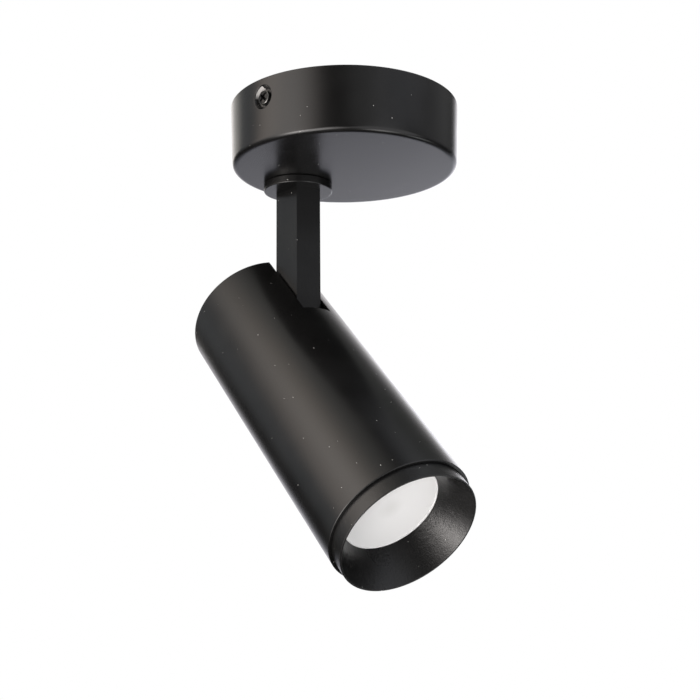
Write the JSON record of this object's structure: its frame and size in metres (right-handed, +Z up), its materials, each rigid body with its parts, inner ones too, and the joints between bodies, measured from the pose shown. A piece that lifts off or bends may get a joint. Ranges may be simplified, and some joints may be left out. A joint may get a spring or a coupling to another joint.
{
  "type": "adjustable spotlight",
  "caption": "Ceiling spotlight: a round canopy with an off-centre swivelling arm that carries a long tilting tube with a deep anti-glare ring.",
  "frame": {"origin": "centre of the canopy's ceiling face, on the ceiling plane, midway between the two ceiling slots", "axes": "+Z up, out of the canopy into the ceiling; +X from the swivel's side of the canopy towards its far side; the slots, the bracket and the side screws lie along Y"},
  "size_m": [0.1489, 0.1, 0.2086],
  "materials": {
    "black_paint": "fine matt powder coat",
    "black_ring": "fine matt powder coat",
    "black_screw": "blackened steel",
    "zinc_steel": "zinc plated",
    "spring_steel": "plain steel",
    "nylon": "matt",
    "white_plastic": "matt",
    "board_green": "lacquered",
    "brass": "plain",
    "cast_alloy": "cast",
    "bright_alloy": "bright",
    "grey_pad": "matt",
    "light_source": "coated",
    "opal": "frosted",
    "black_rubber": "matt"
  },
  "bodies": {
    "base": {"canopy": "black_paint", "mounting_bracket": "zinc_steel", "side_screws": "black_screw", "thrust_washer": "nylon", "stop_pin": "spring_steel", "driver_case": "white_plastic", "driver_cover": "white_plastic", "driver_board": "board_green", "driver_screws": "zinc_steel", "terminal_block": "white_plastic", "terminal_clamps": "brass", "terminal_screws": "zinc_steel", "block_screw": "zinc_steel", "earth_screw": "brass", "earth_washer": "zinc_steel"},
    "arm": {"swivel_collar": "black_paint", "collar_washer": "nylon", "swivel_stem": "zinc_steel", "stop_washer": "spring_steel", "spring_washer": "spring_steel", "swivel_nut": "zinc_steel", "stem_bush": "black_rubber", "arm": "black_paint"},
    "head": {"housing_tube": "black_paint", "rear_cap": "black_paint", "cap_screws": "black_screw", "pivot_bracket": "spring_steel", "bracket_screws": "zinc_steel", "pivot_bolt": "spring_steel", "friction_washers": "nylon", "pivot_spring_washer": "spring_steel", "pivot_nut": "zinc_steel", "heat_sink": "cast_alloy", "snap_ring": "spring_steel", "thermal_pad": "grey_pad", "light_board": "light_source", "board_holder": "white_plastic", "holder_screws": "zinc_steel", "reflector": "bright_alloy", "diffuser": "opal", "ring_seal": "black_rubber", "front_ring": "black_ring"}
  },
  "joints": [
    {"name": "swivel", "type": "hinge", "parent": "base", "child": "arm", "pos_m": [-0.029, 0, -0.0275], "axis": [0, 0, 1], "range_deg": [-155.6, 176.4]},
    {"name": "tilt", "type": "hinge", "parent": "arm", "child": "head", "pos_m": [-0.029, 0, -0.0908], "axis": [-0.1805, -0.9836, 0], "range_deg": [-46.4, 43.6]}
  ]
}
